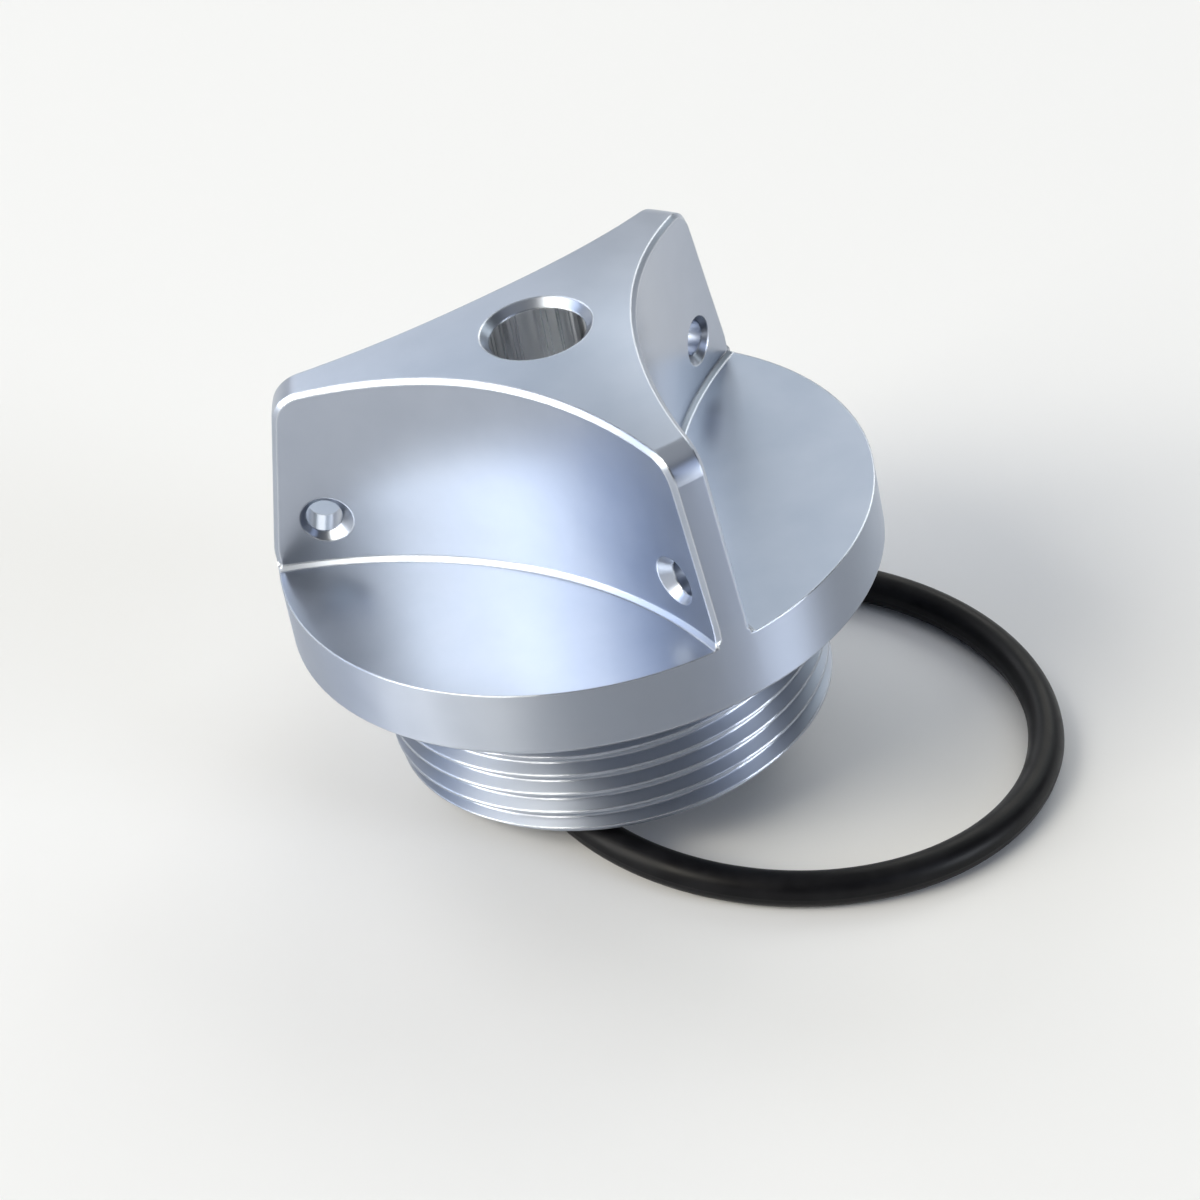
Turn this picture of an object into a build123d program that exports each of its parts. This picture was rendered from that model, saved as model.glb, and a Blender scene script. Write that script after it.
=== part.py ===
from build123d import *
from math import asin, cos, degrees, radians, sin, sqrt, tan
import os

# Oil filler cap, turned and milled from one aluminium bar, with the rubber ring that seals it taken off.
# The ring lies flat on the floor. The cap stands on the low edge of its neck and leans on the ring.
# Each piece is drawn about its own axis and then put in its place. Sizes in millimetres, angles in degrees.

# Flange
flange_dia = 40.0
flange_thick = 4.9
floor_edge_break = 0.3
flange_under_break = 0.4

# Knob: a cone with a low crown on top, cut into three arms by three scallops
knob_height = 14.9
knob_land = 1.5
knob_land_radius = 3.0
knob_taper = 10.8
crown_drop = 1.75
crown_bulge_height = 0.25
crown_edge_radius = 2.4
arm_count = 3
scallop_radius = 32.7
arm_thick = 2.5
scallop_corner = 0.3
arm_edge_break = 0.3

# Blind hole in the crown
top_hole_dia = 6.4
top_hole_depth = 8.5
top_hole_countersink = 0.75
drill_point_angle = 118.0

# Lock wire hole across each arm
wire_hole_dia = 2.4
wire_hole_at = 16.2
wire_hole_height = 3.5
wire_hole_countersink = 0.5

# Neck: a seat for the ring, a relief, and the plain cylinder of an M30 thread, bored out from below
thread_dia = 30.0
neck_length = 10.8
neck_lead = 1.0
ring_seat_height = 1.9
ring_stretch = 0.2
relief_width = 1.5
relief_depth = 1.05
neck_bore_dia = 24.6
neck_bore_depth = 12.4
neck_bore_corner = 1.0
neck_bore_lead = 0.3

# Ring: its round section has this many flats, because a true torus takes three times the triangles
ring_inside_dia = 32.6
ring_section_dia = 2.4
ring_flats = 20

# How the two lie: the ring's middle is this far from the neck's, and the arms are turned by this much
ring_offset = 11.7
arm_turn = 5.0
rest_gap = 0.06
lean_rounds = 20

# An edge closer than this to a scallop's cylinder lies on its wall
wall_tolerance = 0.001

# Worked out
flange_r = flange_dia / 2
thread_r = thread_dia / 2
neck_bore_r = neck_bore_dia / 2
ring_r = ring_section_dia / 2
ring_mid_r = ring_inside_dia / 2 + ring_r
ring_seat_r = ring_inside_dia / 2 + ring_stretch
knob_top_r = flange_r - (knob_height - crown_drop - knob_land) * tan(radians(knob_taper))
neck_end_z = -flange_thick - neck_length
half_pitch = radians(180 / arm_count)
# The walls of two neighbouring scallops stand arm_thick apart at their nearest
scallop_reach = (scallop_radius + arm_thick / 2) / sin(half_pitch)


def half_wall(along):
    """Half the thickness of an arm at a distance from the cap's axis."""
    past_neck = along - scallop_reach * cos(half_pitch)
    return scallop_reach * sin(half_pitch) - sqrt(scallop_radius**2 - past_neck**2)


def turned_bar():
    """Everything the lathe makes outside: knob cone and crown, flange, ring seat, relief and thread cylinder."""
    seat_z = -flange_thick - ring_seat_height
    relief_z = seat_z - relief_width
    relief_r = thread_r - relief_depth
    crown_edge = (knob_top_r, knob_height - crown_drop)
    land_edge = (flange_r, knob_land)
    with BuildPart() as bar:
        with BuildSketch(Plane.XZ) as outline:
            with BuildLine():
                SagittaArc((0, knob_height), crown_edge, crown_bulge_height)
                Polyline(
                    crown_edge,
                    land_edge,
                    (flange_r, flange_under_break - flange_thick),
                    (flange_r - flange_under_break, -flange_thick),
                    (ring_seat_r, -flange_thick),
                    (ring_seat_r, seat_z),
                    (relief_r, seat_z),
                    (relief_r, relief_z + relief_depth),
                    (thread_r, relief_z),
                    (thread_r, neck_end_z + neck_lead),
                    (thread_r - neck_lead, neck_end_z),
                    (0, neck_end_z),
                    (0, knob_height),
                )
            make_face()
            fillet(outline.vertices().sort_by_distance(crown_edge)[0], crown_edge_radius)
            fillet(outline.vertices().sort_by_distance(land_edge)[0], knob_land_radius)
        revolve(axis=Axis.Z)
    return bar.part


def scallop_centre(number, height=0):
    """A point on the axis of one scallop's cylinder."""
    angle = radians(360 / arm_count) * number
    return Vector(scallop_reach * cos(angle), scallop_reach * sin(angle), height)


def scallop(number):
    """One scallop's waste: an upright cylinder beside the knob, its lower edge bevelled like the cutter's."""
    waste_height = knob_height + scallop_corner
    waste = Cylinder(scallop_radius, waste_height, align=(Align.CENTER, Align.CENTER, Align.MIN))
    waste = chamfer(waste.edges().group_by(Axis.Z)[0], scallop_corner)
    return Pos(scallop_centre(number)) * waste


def floor_edge(number):
    """The waste of the small bevel round the outer edge of one scallop's floor."""
    reach = Pos(scallop_centre(number)) * Cylinder(scallop_radius, 2 * floor_edge_break)
    outside = Cylinder(flange_r + floor_edge_break, 2 * floor_edge_break)
    inside = Cone(flange_r + floor_edge_break, flange_r - floor_edge_break, 2 * floor_edge_break)
    return (outside - inside) & reach


def wire_hole(number):
    """One lock wire hole: a drill across the arm, with a countersink at each wall."""
    side = half_wall(wire_hole_at)
    arm_width = 2 * side
    drill_r = wire_hole_dia / 2
    rim = drill_r + wire_hole_countersink
    drill = Cylinder(drill_r, 2 * arm_width)
    sink = Cone(drill_r, rim + side, wire_hole_countersink + side, align=(Align.CENTER, Align.CENTER, Align.MIN))
    sink = Pos(0, 0, side - wire_hole_countersink) * sink
    tool = Plane.XZ * (drill + sink + Rot(180, 0, 0) * sink)
    return Rot(0, 0, 360 / arm_count * (number + 0.5)) * (Pos(wire_hole_at, 0, wire_hole_height) * tool)


def top_hole():
    """The blind hole in the crown: countersink, drilled wall and the cone that a drill leaves."""
    hole_r = top_hole_dia / 2
    point = hole_r / tan(radians(drill_point_angle / 2))
    rim_z = knob_height
    with BuildPart() as hole:
        with BuildSketch(Plane.XZ):
            with BuildLine():
                Polyline(
                    (0, rim_z + hole_r),
                    (2 * hole_r + top_hole_countersink, rim_z + hole_r),
                    (hole_r, rim_z - top_hole_countersink),
                    (hole_r, rim_z - top_hole_depth),
                    (0, rim_z - top_hole_depth - point),
                    close=True,
                )
            make_face()
        revolve(axis=Axis.Z)
    return hole.part


def neck_bore():
    """The hollow of the neck, open below, with a bevelled corner at its roof and a bevelled mouth."""
    roof_z = neck_end_z + neck_bore_depth
    with BuildPart() as bore:
        with BuildSketch(Plane.XZ):
            with BuildLine():
                Polyline(
                    (0, roof_z),
                    (neck_bore_r - neck_bore_corner, roof_z),
                    (neck_bore_r, roof_z - neck_bore_corner),
                    (neck_bore_r, neck_end_z + neck_bore_lead),
                    (neck_bore_r + 2 * neck_bore_lead, neck_end_z - neck_bore_lead),
                    (0, neck_end_z - neck_bore_lead),
                    close=True,
                )
            make_face()
        revolve(axis=Axis.Z)
    return bore.part


def filler_cap():
    """The one-piece cap about its own axis, with the flange's upper face at height 0."""
    cap = turned_bar() - [scallop(number) for number in range(arm_count)]
    cap = chamfer(arm_edges(cap), arm_edge_break)
    cap = cap - [floor_edge(number) for number in range(arm_count)]
    cap = cap - top_hole() - neck_bore()
    return cap - [wire_hole(number) for number in range(arm_count)]


def arm_edges(cap):
    """The sharp edges where the scallop walls meet the crown and the arm ends."""
    above_floor = cap.edges().filter_by(lambda edge: edge.center().Z > scallop_corner)
    return above_floor.filter_by(lambda edge: on_wall(edge @ 0) and on_wall(edge @ 0.5) and on_wall(edge @ 1))


def on_wall(point):
    """True where a point lies on one of the scallop walls."""
    for number in range(arm_count):
        if abs((point - scallop_centre(number, point.Z)).length - scallop_radius) < wall_tolerance:
            return True
    return False


def o_ring():
    """The rubber ring, lying flat on height 0 on the lowest flat of its section."""
    with BuildPart() as ring:
        with BuildSketch(Plane.XZ):
            with Locations((ring_mid_r, ring_r)):
                RegularPolygon(ring_r, ring_flats, major_radius=False, rotation=180 / ring_flats)
        revolve(axis=Axis.Z)
    return ring.part


def lean():
    """How far the cap leans, in degrees, when its neck stands on the floor and on the ring.

    The neck's end is a flat face between face_in and face_out. The ring passes under it where the face's
    inner edge crosses the ring's middle line, at a distance of contact from the middle of the face. The
    face slopes there, so it clears the ring's round top by a little more than the ring's height.
    """
    face_in = neck_bore_r + neck_bore_lead
    face_out = thread_r - neck_lead
    angle = 0.0
    for _ in range(lean_rounds):
        contact = (ring_offset**2 + face_in**2 - ring_mid_r**2) / (2 * ring_offset * cos(angle))
        slope = tan(angle) * ring_mid_r / ring_offset
        height = ring_r * (1 + sqrt(1 + slope**2)) + rest_gap
        angle = asin(height / (face_out + contact))
    return degrees(angle)


def resting_places():
    """Where the cap and the ring go, with the origin on the floor in the middle of the whole outline."""
    face_out = thread_r - neck_lead
    end_height = face_out * sin(radians(lean()))
    cap_place = Pos(0, 0, end_height) * Rot(0, -lean(), 0) * Pos(0, 0, -neck_end_z) * Rot(0, 0, arm_turn)
    ring_place = Pos(ring_offset, 0, 0)
    box = Compound([cap_place * turned_bar(), ring_place * o_ring()]).bounding_box(optimal=True)
    to_middle = Pos(-box.center().X, -box.center().Y, -box.min.Z)
    return to_middle * cap_place, to_middle * ring_place


if __name__ == "__main__":
    os.makedirs("parts", exist_ok=True)
    cap_at, ring_at = resting_places()
    export_step(cap_at * filler_cap(), "parts/filler_cap.step")
    export_step(ring_at * o_ring(), "parts/o_ring.step")
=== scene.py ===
from functools import partial
from math import cos, pi, radians, sin, tan

import bpy
import numpy as np
from mathutils import Matrix, Vector


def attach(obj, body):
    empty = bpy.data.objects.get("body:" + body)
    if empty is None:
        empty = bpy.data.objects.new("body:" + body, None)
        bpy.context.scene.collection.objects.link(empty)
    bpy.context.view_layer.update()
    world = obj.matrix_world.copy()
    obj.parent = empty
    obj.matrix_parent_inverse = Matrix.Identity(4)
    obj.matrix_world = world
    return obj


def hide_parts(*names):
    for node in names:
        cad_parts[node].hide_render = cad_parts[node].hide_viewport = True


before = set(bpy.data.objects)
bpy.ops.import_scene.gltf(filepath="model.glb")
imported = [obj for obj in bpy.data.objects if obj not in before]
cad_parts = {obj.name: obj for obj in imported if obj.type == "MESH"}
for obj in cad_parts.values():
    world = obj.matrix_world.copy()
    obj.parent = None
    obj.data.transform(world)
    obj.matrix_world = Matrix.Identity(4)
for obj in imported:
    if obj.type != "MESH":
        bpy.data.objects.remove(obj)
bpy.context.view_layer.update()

# The filler cap: knob, flange and neck in one piece of aluminium bar, clear anodised. The crown and the milled
# faces are blasted to a satin, and the turned sides keep the lathe's fine marks. The solid's neck is a plain
# cylinder, and its thread, M30 x 1.5, is cut here.
MM = 0.001
CAP_ORIGIN = np.array([-6.68777, 0.0, 18.02064])
CAP_LEAN = radians(10.6698)
CAP_AXIS = np.array([-sin(CAP_LEAN), 0, cos(CAP_LEAN)])
THREAD_R = 15.0
THREAD_PITCH = 1.5
THREAD_DEPTH = 0.54 * THREAD_PITCH
THREAD_FLANK = radians(30)
THREAD_TOP = -7.6
THREAD_END = -16.6
GROOVE_HEIGHT = -9.6
GROOVE_ANGLE = radians(-83)
GROOVE_STEPS_PER_TURN = 120
CUT_PROUD = 0.08
RUN_IN_DEPTH = 1.0
RUN_IN_ANGLE = radians(60)
WELD_DISTANCE = 0.0005
METAL_DARK = (0.395, 0.435, 0.515, 1)
METAL_LIGHT = (0.43, 0.47, 0.55, 1)
METAL_RUBBED = (0.64, 0.67, 0.73, 1)
METAL_DRILLED = (0.78, 0.8, 0.83, 1)
EDGE_ROUNDING = 0.18
BUMP_DEPTH = 0.02
TOP_HOLE_WITHIN = 3.25
TOP_HOLE_END = 14.15
ARM_END_R = 17
NECK_R = 12.5
NECK_TOP = -4.9
STRAIGHT_OUT = 0.975
PARTLY_OUT = 0.3
SATIN_ROUGHNESS = (0.28, 0.33)
TURNED_ROUGHNESS = (0.48, 0.54)
RUBBED_ROUGHNESS = 0.18
TURNED_STRETCH = 0.9


def to_row(points):
    """Points about the cap's own axis, in mm with the flange's upper face at 0, as points of the row frame in
    metres: turned by the cap's lean about Y, then moved to the cap's origin."""
    lean = np.array([[cos(CAP_LEAN), 0, -sin(CAP_LEAN)], [0, 1, 0], [sin(CAP_LEAN), 0, cos(CAP_LEAN)]])
    return (points @ lean.T + CAP_ORIGIN) * MM


def new_piece(name, points, faces):
    """A mesh object of that name from arrays of points and faces."""
    mesh = bpy.data.meshes.new(name)
    mesh.from_pydata(points.tolist(), [], faces.tolist())
    mesh.update()
    piece = bpy.data.objects.new(name, mesh)
    bpy.context.scene.collection.objects.link(piece)
    return piece


def tube_faces(rows, columns, closed):
    """Quads of a grid of rows by columns whose columns close up, and whose rows do too if closed is true."""
    row, column = np.meshgrid(np.arange(rows if closed else rows - 1), np.arange(columns), indexing="ij")
    after, beside = (row + 1) % rows, (column + 1) % columns
    corners = [row * columns + column, row * columns + beside, after * columns + beside, after * columns + column]
    return np.stack([corner.ravel() for corner in corners], axis=1)


def thread_groove():
    """What the thread tool removes: a V with a flat root, carried along a right-handed helix. A point of the
    section at radius r and height h goes to (r cos a, r sin a, z + h), where z falls by one pitch a turn. The
    tool comes in from outside over the first sixth of a turn."""
    turns = (THREAD_TOP - THREAD_END) / THREAD_PITCH
    top_angle = GROOVE_ANGLE + (THREAD_TOP - GROOVE_HEIGHT) / THREAD_PITCH * 2 * pi
    angle = top_angle - np.linspace(0, turns * 2 * pi, int(turns * GROOVE_STEPS_PER_TURN))
    height = GROOVE_HEIGHT + (angle - GROOVE_ANGLE) / (2 * pi) * THREAD_PITCH
    root_r, reach_r = THREAD_R - THREAD_DEPTH, THREAD_R + CUT_PROUD
    root_half = THREAD_PITCH / 8
    reach_half = root_half + (reach_r - root_r) * tan(THREAD_FLANK)
    section = np.array([[root_r, -root_half], [reach_r, -reach_half], [reach_r, reach_half], [root_r, root_half]])
    run_in = RUN_IN_DEPTH * np.clip(1 - (top_angle - angle) / RUN_IN_ANGLE, 0, 1) ** 2
    r = section[:, 0] + run_in[:, None]
    h = section[:, 1] + height[:, None]
    a = angle[:, None]
    points = np.stack([r * np.cos(a), r * np.sin(a), h], axis=-1).reshape(-1, 3)
    sides = tube_faces(len(angle), len(section), False)
    last = len(points) - len(section)
    ends = np.array([[0, 1, 2, 3], [last + 3, last + 2, last + 1, last]])
    return new_piece("thread_groove", to_row(points), np.concatenate([sides, ends]))


def corner_values(mesh):
    """Place, normal and flat face normal of every corner of a mesh, as arrays."""
    places = np.empty(len(mesh.vertices) * 3, np.float32)
    mesh.vertices.foreach_get("co", places)
    vertex = np.empty(len(mesh.loops), np.int32)
    mesh.loops.foreach_get("vertex_index", vertex)
    normals = np.empty(len(mesh.loops) * 3, np.float32)
    mesh.corner_normals.foreach_get("vector", normals)
    flat = np.empty(len(mesh.polygons) * 3, np.float32)
    mesh.polygon_normals.foreach_get("vector", flat)
    size = np.empty(len(mesh.polygons), np.int32)
    mesh.polygons.foreach_get("loop_total", size)
    return places.reshape(-1, 3)[vertex], normals.reshape(-1, 3), np.repeat(flat.reshape(-1, 3), size, axis=0)


def merged_copy(node, name):
    """A copy of a CAD node with its loose triangles joined into one closed skin. The solid's exact normals stay
    with the corners as an attribute, which later cuts carry along."""
    copy = bpy.data.objects.new(name, node.data.copy())
    bpy.context.scene.collection.objects.link(copy)
    exact = copy.data.attributes.new("exact", "FLOAT_VECTOR", "CORNER")
    exact.data.foreach_set("vector", corner_values(node.data)[1].ravel())
    weld = copy.modifiers.new("weld", "WELD")
    weld.merge_threshold = WELD_DISTANCE * MM
    return copy


def cut_away(piece, tool):
    """Takes the tool's closed shape out of the piece."""
    cut = piece.modifiers.new("cut", "BOOLEAN")
    cut.operation = "DIFFERENCE"
    cut.object = tool
    cut.solver = "EXACT"


def apply_modifiers(piece):
    """Works the piece's modifiers into its mesh."""
    graph = bpy.context.evaluated_depsgraph_get()
    mesh = bpy.data.meshes.new_from_object(piece.evaluated_get(graph))
    piece.modifiers.clear()
    piece.data = mesh


def about_cap_axis(places):
    """Heights along the cap's axis, distances from it and directions out from it, for places in metres."""
    from_origin = places / MM - CAP_ORIGIN
    height = from_origin @ CAP_AXIS
    out = from_origin - height[:, None] * CAP_AXIS
    distance = np.linalg.norm(out, axis=1)
    return height, distance, out / distance[:, None].clip(1)


def machined_normals(mesh):
    """Smooth normals that leave the edges crisp. A corner of the solid keeps the solid's exact normal. One that
    the thread tool made takes its face's normal, less the part that points along the turning direction."""
    places, _, normals = corner_values(mesh)
    sideways = np.cross(CAP_AXIS, about_cap_axis(places)[2])
    normals = normals - (normals * sideways).sum(axis=1)[:, None] * sideways
    exact = np.empty(len(mesh.loops) * 3, np.float32)
    mesh.attributes["exact"].data.foreach_get("vector", exact)
    exact = exact.reshape(-1, 3)
    # The attribute is a unit vector on the solid's own corners and zero on those that the cut made
    solid = np.linalg.norm(exact, axis=1) > 0.5
    normals[solid] = exact[solid]
    normals /= np.linalg.norm(normals, axis=1)[:, None]
    mesh.normals_split_custom_set(normals)
    mesh.attributes.remove(mesh.attributes["exact"])


def turned_faces(mesh):
    """1 for the faces that keep the lathe's marks, and 0 for the others: the side of the flange and the ends of
    the arms, which face straight out from the axis, and the outside of the neck."""
    centres, normals = np.empty((2, len(mesh.polygons) * 3), np.float32)
    mesh.polygons.foreach_get("center", centres)
    mesh.polygon_normals.foreach_get("vector", normals)
    height, distance, outward = about_cap_axis(centres.reshape(-1, 3))
    straightness = (normals.reshape(-1, 3) * outward).sum(axis=1)
    side = (distance > ARM_END_R) & (straightness > STRAIGHT_OUT)
    neck = (distance > NECK_R) & (height < NECK_TOP) & (straightness > PARTLY_OUT)
    return (side | neck).astype(np.int32)


def set_inputs(node, inputs):
    """Sets each named input of a node to a value, or links it from another node's socket."""
    for name, value in inputs:
        if isinstance(value, bpy.types.NodeSocket):
            node.id_data.links.new(value, node.inputs[name])
        else:
            node.inputs[name].default_value = value


def add_node(tree, kind, inputs=(), **settings):
    """A new shader node of that kind in a tree, with its settings and inputs set."""
    node = tree.nodes.new("ShaderNode" + kind)
    for setting, value in settings.items():
        setattr(node, setting, value)
    set_inputs(node, inputs)
    return node


def new_material(name):
    """A material of that name, its main shader, and the function that adds nodes to it."""
    material = bpy.data.materials.new(name)
    material.use_nodes = True
    return material, material.node_tree.nodes["Principled BSDF"], partial(add_node, material.node_tree)


def aluminium(name, roughness, stretch):
    """Clear anodised aluminium: a cool grey that is a little uneven, with a fine grain, faint marks of the lathe,
    and brighter, smoother metal where the edges are rubbed. Its roughness lies between two values, and its
    highlights stretch across the lathe's marks by an amount from 0 to 1."""
    material, shader, add = new_material(name)
    place = add("TexCoord").outputs["Object"]
    grain = add("TexNoise", [("Vector", place), ("Scale", 9000), ("Detail", 2)]).outputs["Fac"]
    cloud = add("TexNoise", [("Vector", place), ("Scale", 260), ("Detail", 3)]).outputs["Fac"]

    # Lathe marks are a function of the distance from the cap's axis and of the height along it
    axis_place = [("Vector", place), ("Location", CAP_ORIGIN * MM), ("Rotation", (0, -CAP_LEAN, 0))]
    about_axis = add("Mapping", axis_place, vector_type="TEXTURE").outputs["Vector"]
    split = add("SeparateXYZ", [("Vector", about_axis)])
    height = split.outputs["Z"]
    outward = add("CombineXYZ", [("X", split.outputs["X"]), ("Y", split.outputs["Y"])]).outputs["Vector"]
    radius = add("VectorMath", [(0, outward)], operation="LENGTH").outputs["Value"]
    profile = add("CombineXYZ", [("X", radius), ("Y", height)]).outputs["Vector"]
    marks = add("TexNoise", [("Vector", profile), ("Scale", 4500), ("Detail", 1)], noise_dimensions="2D")

    # Rubbed edges: where the normal that a small rounding would have differs from the surface's own
    soft = add("Bevel", [("Radius", EDGE_ROUNDING * MM)], samples=6).outputs["Normal"]
    own = add("NewGeometry").outputs["Normal"]
    likeness = add("VectorMath", [(0, soft), (1, own)], operation="DOT_PRODUCT").outputs["Value"]
    rub = add("MapRange", [("Value", likeness), ("From Min", 0.995), ("From Max", 0.93)]).outputs["Result"]

    # The drilled wall of the hole in the crown wasn't blasted: bright metal, scratched along its height
    bearing = add("VectorMath", [(0, outward)], operation="NORMALIZE").outputs["Vector"]
    scratches = add("TexNoise", [("Vector", bearing), ("Scale", 9), ("Detail", 3)]).outputs["Fac"]
    within = add("Math", [(0, radius), (1, TOP_HOLE_WITHIN * MM)], operation="LESS_THAN").outputs["Value"]
    below = add("Math", [(0, height), (1, TOP_HOLE_END * MM)], operation="LESS_THAN").outputs["Value"]
    above = add("Math", [(0, height), (1, 0)], operation="GREATER_THAN").outputs["Value"]
    inside = add("Math", [(0, within), (1, below)], operation="MULTIPLY").outputs["Value"]
    drilled = add("Math", [(0, inside), (1, above)], operation="MULTIPLY").outputs["Value"]

    # Across the marks: square to the surface's normal and to the direction round the axis
    from_origin = add("VectorMath", [(0, place), (1, CAP_ORIGIN * MM)], operation="SUBTRACT").outputs["Vector"]
    round_axis = add("VectorMath", [(0, CAP_AXIS), (1, from_origin)], operation="CROSS_PRODUCT").outputs["Vector"]
    square = add("VectorMath", [(0, own), (1, round_axis)], operation="CROSS_PRODUCT").outputs["Vector"]
    across = add("VectorMath", [(0, square)], operation="NORMALIZE").outputs["Vector"]

    tone = add("MapRange", [("Value", cloud), ("From Min", 0.3), ("From Max", 0.7)]).outputs["Result"]
    mix_colour = partial(add, "Mix", data_type="RGBA")
    metal = mix_colour([("Factor", tone), ("A", METAL_DARK), ("B", METAL_LIGHT)]).outputs["Result"]
    rubbed = mix_colour([("Factor", rub), ("A", metal), ("B", METAL_RUBBED)]).outputs["Result"]
    colour = mix_colour([("Factor", drilled), ("A", rubbed), ("B", METAL_DRILLED)]).outputs["Result"]

    dull_range = [("Value", tone), ("To Min", roughness[0]), ("To Max", roughness[1])]
    dull = add("MapRange", dull_range).outputs["Result"]
    gloss = add("MapRange", [("Value", rub), ("To Min", dull), ("To Max", RUBBED_ROUGHNESS)]).outputs["Result"]
    scratch_range = [("Value", scratches), ("From Min", 0.35), ("From Max", 0.65), ("To Min", 0.12), ("To Max", 0.6)]
    scratched = add("MapRange", scratch_range).outputs["Result"]
    rough = add("Mix", [("Factor", drilled), ("A", gloss), ("B", scratched)]).outputs["Result"]

    depth = ("Distance", BUMP_DEPTH * MM)
    turned = add("Bump", [("Height", marks.outputs["Fac"]), ("Normal", soft), ("Strength", 0.05), depth])
    blasted = add("Bump", [("Height", grain), ("Normal", turned.outputs["Normal"]), ("Strength", 0.08), depth])
    finish = [("Base Color", colour), ("Roughness", rough), ("Normal", blasted.outputs["Normal"])]
    set_inputs(shader, [("Metallic", 1.0), ("Anisotropic", stretch), ("Tangent", across), *finish])
    return material


cap = merged_copy(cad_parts["filler_cap"], "threaded_cap")
groove = thread_groove()
cut_away(cap, groove)
apply_modifiers(cap)
bpy.data.objects.remove(groove)
machined_normals(cap.data)
cap.data.materials.clear()
cap.data.materials.append(aluminium("satin_aluminium", SATIN_ROUGHNESS, 0.0))
cap.data.materials.append(aluminium("turned_aluminium", TURNED_ROUGHNESS, TURNED_STRETCH))
cap.data.polygons.foreach_set("material_index", turned_faces(cap.data))
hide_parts("filler_cap")
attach(cap, "root")

# The rubber ring that seals the cap, taken off and lying flat on the floor: black nitrile with a round
# section, moulded in two halves that leave a fine seam round its inside and outside.
RING_MIDDLE = np.array([7.91907, 0.0, 1.2])
RING_MID_R = 17.5
RING_SECTION_R = 1.2
RING_STEPS = 288
SECTION_STEPS = 96
SEAM_HEIGHT = 0.03
SEAM_HALF = 0.07
RUBBER_BLACK = (0.004, 0.004, 0.005, 1)
RUBBER_DUSTY = (0.009, 0.009, 0.0105, 1)


def ring_surface():
    """A torus: the point at angle u round the ring and v round its section is at radius R + r cos v and height
    r sin v. The section's radius r swells by a low ridge at v = 0 and v = half a turn, where the mould parts:
    r = section + seam * exp(-(d / half)^2), with d the angle from the nearer of the two."""
    u = np.linspace(0, 2 * pi, RING_STEPS, endpoint=False)[:, None]
    v = np.linspace(0, 2 * pi, SECTION_STEPS, endpoint=False)
    from_seam = np.arcsin(np.abs(np.sin(v)))
    section = RING_SECTION_R + SEAM_HEIGHT * np.exp(-((from_seam / SEAM_HALF) ** 2))
    r = RING_MID_R + section * np.cos(v)
    points = np.stack([r * np.cos(u), r * np.sin(u), section * np.sin(v) + 0 * u], axis=-1).reshape(-1, 3)
    return (points + RING_MIDDLE) * MM, tube_faces(RING_STEPS, SECTION_STEPS, True)


def black_rubber():
    """Nitrile rubber: near black, a little dusty in places, with the faint unevenness of a moulded skin."""
    material, shader, add = new_material("black_rubber")
    place = add("TexCoord").outputs["Object"]
    skin = add("TexNoise", [("Vector", place), ("Scale", 5200), ("Detail", 3)]).outputs["Fac"]
    dust = add("TexNoise", [("Vector", place), ("Scale", 420), ("Detail", 5)]).outputs["Fac"]
    patches = add("MapRange", [("Value", dust), ("From Min", 0.42), ("From Max", 0.75)]).outputs["Result"]
    colour = add("Mix", [("Factor", patches), ("A", RUBBER_BLACK), ("B", RUBBER_DUSTY)], data_type="RGBA")
    rough = add("MapRange", [("Value", patches), ("To Min", 0.36), ("To Max", 0.5)])
    bump = add("Bump", [("Height", skin), ("Strength", 0.25), ("Distance", BUMP_DEPTH * MM)])
    finish = [("Base Color", colour.outputs["Result"]), ("Roughness", rough.outputs["Result"])]
    set_inputs(shader, [*finish, ("Normal", bump.outputs["Normal"]), ("Specular IOR Level", 0.16)])
    return material


ring = new_piece("rubber_ring", *ring_surface())
ring.data.shade_smooth()
ring.data.materials.append(black_rubber())
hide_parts("o_ring")
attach(ring, "root")

# The studio: a plain pale floor, matt as paper, with soft lamps in a ring round it. The lamps were balanced
# against the tones on the photo's metal, and stand far off so that the floor is lit evenly.
FLOOR_HALF = 0.6
FLOOR_PALE = (0.9, 0.9, 0.9, 1)
LAMP_DISTANCE = 3000
LAMP_AIM = Vector((0, 0, 15))
LOW, HIGH = (1125, 1125), (1425, 1350)


def pale_floor():
    """Matt white paper."""
    material, shader, _ = new_material("pale_floor")
    set_inputs(shader, [("Base Color", FLOOR_PALE), ("Roughness", 0.9), ("Specular IOR Level", 0.0)])
    return material


def soft_lamp(name, azimuth, elevation, size, radiance, colour):
    """A rectangular lamp of a size in mm, in a direction in degrees from the object and turned to face it. Its
    power is pi times its area times its radiance, so that a white sheet under a dome of radiance 1 is white."""
    light = bpy.data.lights.new(name, "AREA")
    light.shape = "RECTANGLE"
    light.size, light.size_y = size[0] * MM, size[1] * MM
    light.energy = pi * size[0] * size[1] * MM * MM * radiance
    light.color = colour
    lamp = bpy.data.objects.new(name, light)
    a, e = radians(azimuth), radians(elevation)
    place = LAMP_DISTANCE * Vector((cos(a) * cos(e), sin(a) * cos(e), sin(e)))
    turn = (LAMP_AIM - place).to_track_quat("-Z", "Y").to_matrix().to_4x4()
    lamp.matrix_world = Matrix.Translation(place * MM) @ turn
    lamp.visible_camera = False
    bpy.context.scene.collection.objects.link(lamp)


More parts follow.
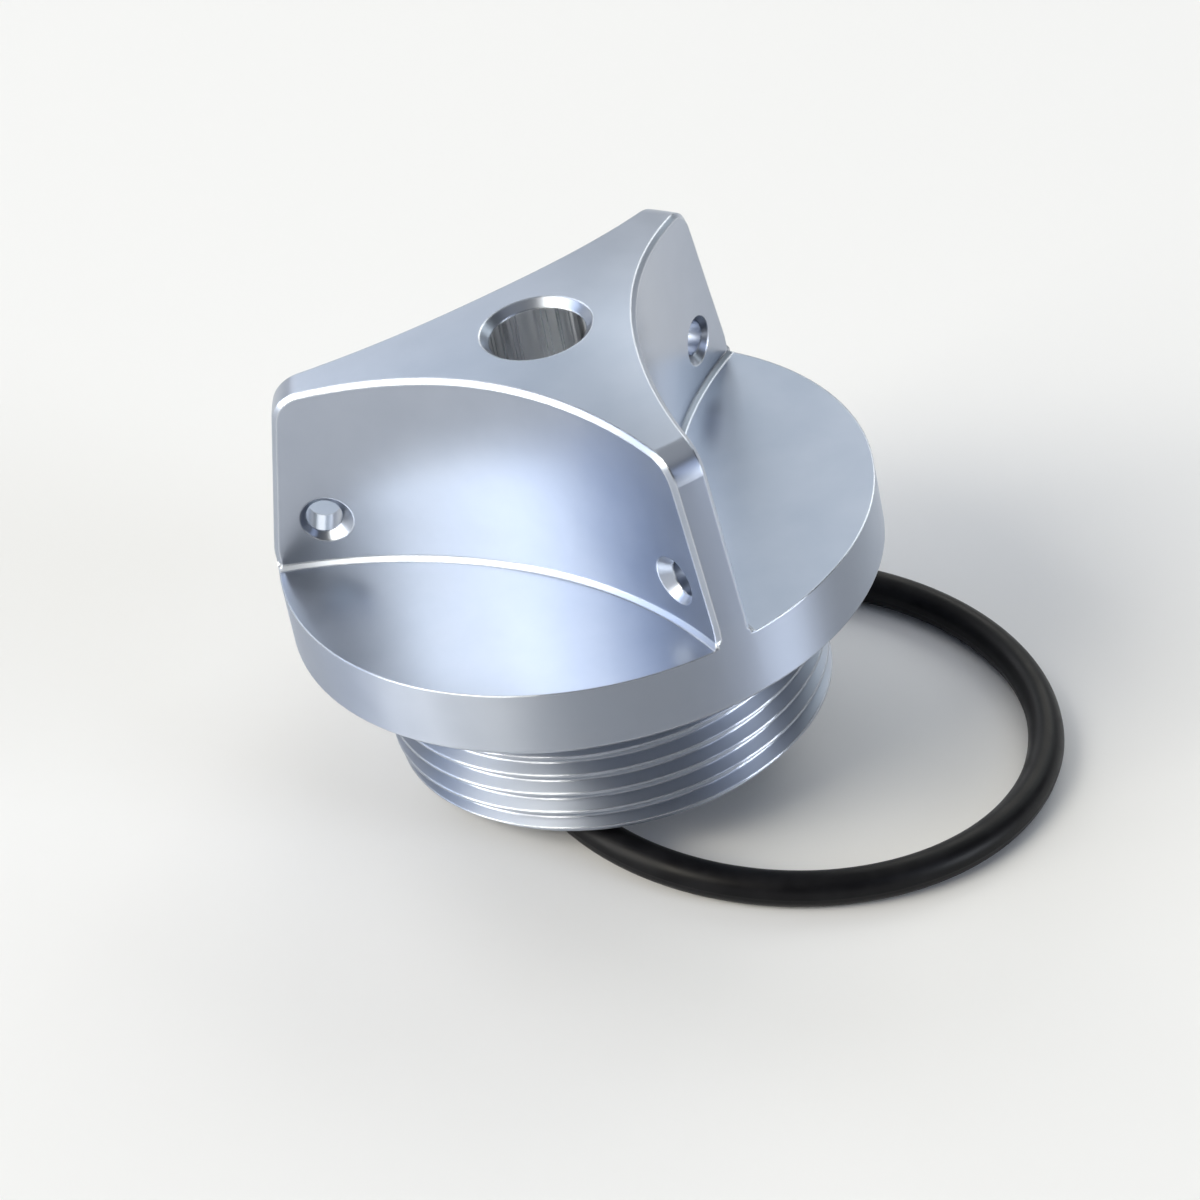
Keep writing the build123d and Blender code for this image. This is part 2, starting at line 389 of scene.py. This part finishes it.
def studio_room():
    """The world: pale at the horizon and overhead, and dim between, where the lamps stand, so that the metal
    keeps its darker tones. Its strength is a smooth ramp over the sine of the elevation."""
    world = bpy.data.worlds.new("studio")
    world.use_nodes = True
    tree = world.node_tree
    upward = add_node(tree, "SeparateXYZ", [("Vector", add_node(tree, "TexCoord").outputs["Generated"])])
    ramp = add_node(tree, "ValToRGB", [("Fac", upward.outputs["Z"])])
    ramp.color_ramp.interpolation = "EASE"
    stops = ((6, 0.93), (14, 0.03), (52, 0.03), (68, 0.5))
    elements = ramp.color_ramp.elements
    while len(elements) < len(stops):
        elements.new(0.5)
    for element, (elevation, strength) in zip(elements, stops):
        element.position = sin(radians(elevation))
        element.color = (0.97 * strength, 0.985 * strength, strength, 1)
    set_inputs(tree.nodes["Background"], [("Color", ramp.outputs["Color"])])
    return world


corners = FLOOR_HALF * np.array([[-1, -1, 0], [1, -1, 0], [1, 1, 0], [-1, 1, 0]])
floor = new_piece("floor", corners, np.array([[0, 1, 2, 3]]))
floor.data.materials.append(pale_floor())

for lamp_values in (
    ("lamp_right_low", 345, 14, LOW, 7.00, (0.88, 0.93, 1.00)),
    ("lamp_back_low", 112.5, 14, LOW, 1.10, (0.98, 0.99, 1.00)),
    ("lamp_left_low", 180, 14, LOW, 2.40, (0.60, 0.74, 1.00)),
    ("lamp_front_left_low", 202.5, 14, LOW, 7.80, (1.00, 0.98, 0.92)),
    ("lamp_back_right", 55.4, 36, HIGH, 1.80, (0.93, 1.00, 1.00)),
    ("lamp_back", 83.1, 36, HIGH, 2.50, (1.00, 0.98, 0.92)),
    ("lamp_back_middle", 110.8, 36, HIGH, 0.82, (0.83, 0.93, 1.00)),
    ("lamp_back_left", 138.5, 36, HIGH, 2.50, (0.95, 0.96, 1.00)),
    ("lamp_left", 193.8, 36, HIGH, 1.75, (0.97, 0.98, 1.00)),
    ("lamp_front_left", 221.5, 36, HIGH, 8.40, (1.00, 0.95, 0.83)),
    ("lamp_front_right", 332.3, 36, HIGH, 1.10, (0.67, 0.77, 1.00)),
):
    soft_lamp(*lamp_values)

bpy.context.scene.world = studio_room()

# The camera, fitted to the edges in the photo
CAMERA_PLACE = Vector((11.034, -300.17, 229.018))
CAMERA_RIGHT = Vector((0.9979145, 0.0630924, 0.0136373))
CAMERA_UP = Vector((-0.0480658, 0.5852941, 0.8093951))
CAMERA_BACK = Vector((0.0430848, -0.8083626, 0.5871061))
camera_data = bpy.data.cameras.new("camera")
camera_data.lens = 166.676
camera_data.sensor_width = 36
camera = bpy.data.objects.new("camera", camera_data)
camera_turn = Matrix((CAMERA_RIGHT, CAMERA_UP, CAMERA_BACK)).transposed().to_4x4()
camera.matrix_world = Matrix.Translation(CAMERA_PLACE * MM) @ camera_turn
bpy.context.scene.collection.objects.link(camera)
bpy.context.scene.camera = camera
bpy.context.scene.view_settings.view_transform = "Standard"
